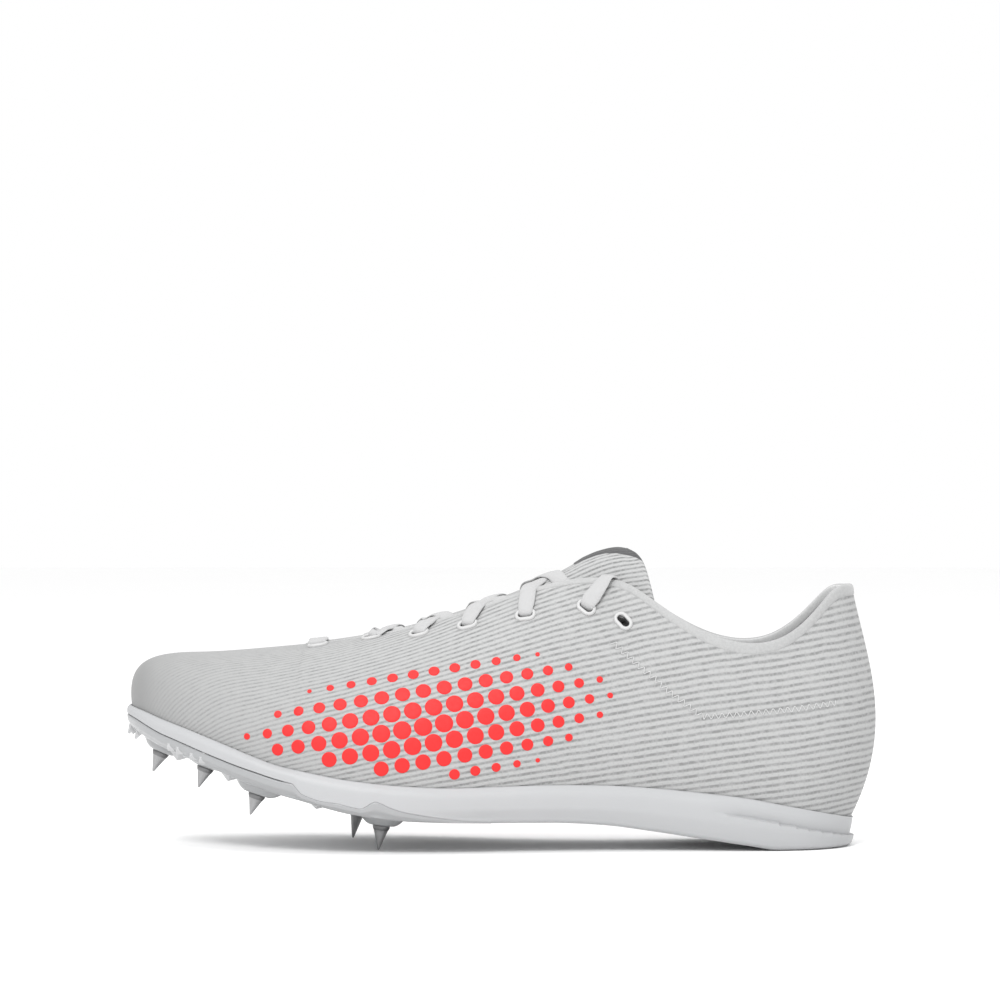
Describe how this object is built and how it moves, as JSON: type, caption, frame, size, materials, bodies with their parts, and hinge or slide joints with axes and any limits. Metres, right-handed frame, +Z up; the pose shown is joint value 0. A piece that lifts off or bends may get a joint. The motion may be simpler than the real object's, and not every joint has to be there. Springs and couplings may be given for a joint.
{
  "type": "track spike shoe",
  "caption": "Left track spike shoe: hollow ribbed mesh upper, foam midsole, moulded spike plate with screw-in pins, tongue and flat laces.",
  "frame": {"origin": "middle of the bounding box seen from above, on the ground below the sole", "axes": "+X from the toe to the heel, +Y from the outer to the inner side of the foot, +Z up"},
  "size_m": [0.2816, 0.0946, 0.1117],
  "materials": {
    "mesh": "matte",
    "foam": "satin",
    "plate": "satin",
    "steel": "satin",
    "lace": "matte",
    "ring": "satin",
    "liner": "matte"
  },
  "bodies": {
    "root": {"upper": "mesh", "tongue": "mesh", "midsole": "foam", "spike_plate": "plate", "sock_liner": "liner", "pin_rear_outer": "steel", "pin_rear_inner": "steel", "pin_mid_outer": "steel", "pin_mid_inner": "steel", "pin_front_outer": "steel", "pin_front_inner": "steel", "lace_bar": "lace", "lace_cross_1": "lace", "lace_cross_2": "lace", "lace_cross_3": "lace", "lace_cross_4": "lace", "lace_end_outer": "lace", "lace_end_inner": "lace", "lace_ring_outer_1": "ring", "lace_ring_outer_2": "ring", "lace_ring_outer_3": "ring", "lace_ring_outer_4": "ring", "lace_ring_outer_5": "ring", "lace_ring_outer_6": "ring", "lace_ring_outer_7": "ring", "lace_ring_inner_1": "ring", "lace_ring_inner_2": "ring", "lace_ring_inner_3": "ring", "lace_ring_inner_4": "ring", "lace_ring_inner_5": "ring", "lace_ring_inner_6": "ring", "lace_ring_inner_7": "ring"}
  },
  "joints": []
}
